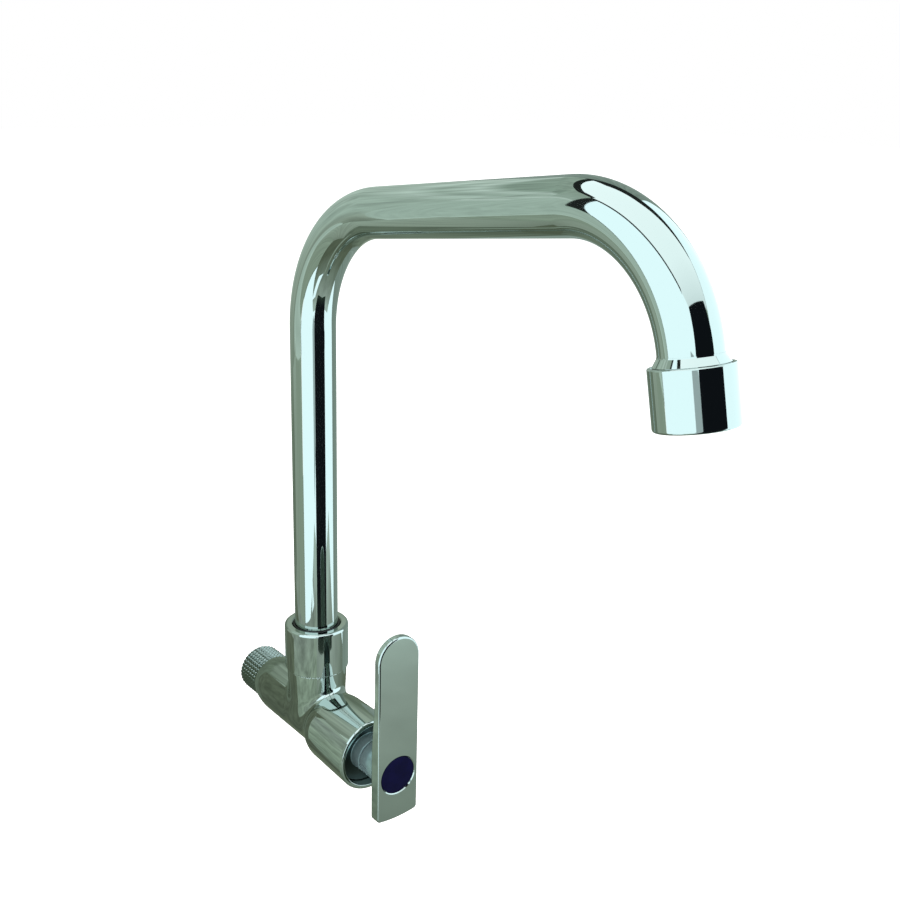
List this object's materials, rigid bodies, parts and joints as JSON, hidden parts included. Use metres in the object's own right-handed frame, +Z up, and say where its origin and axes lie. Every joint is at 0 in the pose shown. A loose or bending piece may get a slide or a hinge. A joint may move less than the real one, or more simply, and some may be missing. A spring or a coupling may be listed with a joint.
{
  "type": "wall-mounted kitchen tap",
  "caption": "Wall-mounted kitchen tap with a swivelling swan-neck spout, a quarter-turn lever on the front of its body and a threaded inlet at the back.",
  "frame": {"origin": "on the axis of the inlet thread, where the thread meets the body", "axes": "+Z up, +Y into the wall along the inlet thread, +X to the right for someone facing the wall; the spout rests pointing along -Y"},
  "size_m": [0.0308, 0.2511, 0.2598],
  "materials": {
    "plated_brass": "polished chromium plate on cast and turned brass",
    "plated_steel": "polished chromium plate on drawn tube",
    "plated_zinc": "polished chromium plate on die-cast zinc alloy",
    "bare_brass": "turned, unplated",
    "steel": "stainless, as drawn",
    "rubber": "moulded, greased",
    "fibre": "pressed red fibre",
    "ceramic": "lapped alumina",
    "black_plastic": "moulded acetal",
    "white_plastic": "moulded acetal",
    "navy_plastic": "glossy enamel-filled disc"
  },
  "bodies": {
    "root": {"tap_body": "plated_brass", "swivel_nut": "plated_brass", "nut_glide_ring": "black_plastic", "headwork_housing": "bare_brass", "headwork_gasket": "fibre", "seat_gasket": "rubber", "fixed_ceramic_disc": "ceramic", "bonnet": "plated_brass"},
    "spout": {"spout_tube": "plated_steel", "spout_ferrule": "bare_brass", "upper_spout_o_ring": "rubber", "lower_spout_o_ring": "rubber", "outlet_collar": "plated_brass", "aerator_housing": "plated_brass", "aerator_washer": "rubber", "aerator_insert": "white_plastic", "aerator_distributor": "white_plastic", "upper_aerator_screen": "steel", "lower_aerator_screen": "steel", "aerator_grille": "white_plastic"},
    "lever": {"lever_handle": "plated_zinc", "handle_screw": "steel", "indicator_cap": "navy_plastic", "spindle": "bare_brass", "rear_spindle_o_ring": "rubber", "front_spindle_o_ring": "rubber", "spindle_circlip": "steel", "friction_washer": "white_plastic", "moving_ceramic_disc": "ceramic"}
  },
  "joints": [
    {"name": "spout_swivel", "type": "hinge", "parent": "root", "child": "spout", "pos_m": [0, -0.036, 0.033], "axis": [0, 0, 1], "range_deg": [-95, 95]},
    {"name": "lever_turn", "type": "hinge", "parent": "root", "child": "lever", "pos_m": [0, -0.08, 0], "axis": [0, -1, 0], "range_deg": [0, 90]}
  ]
}
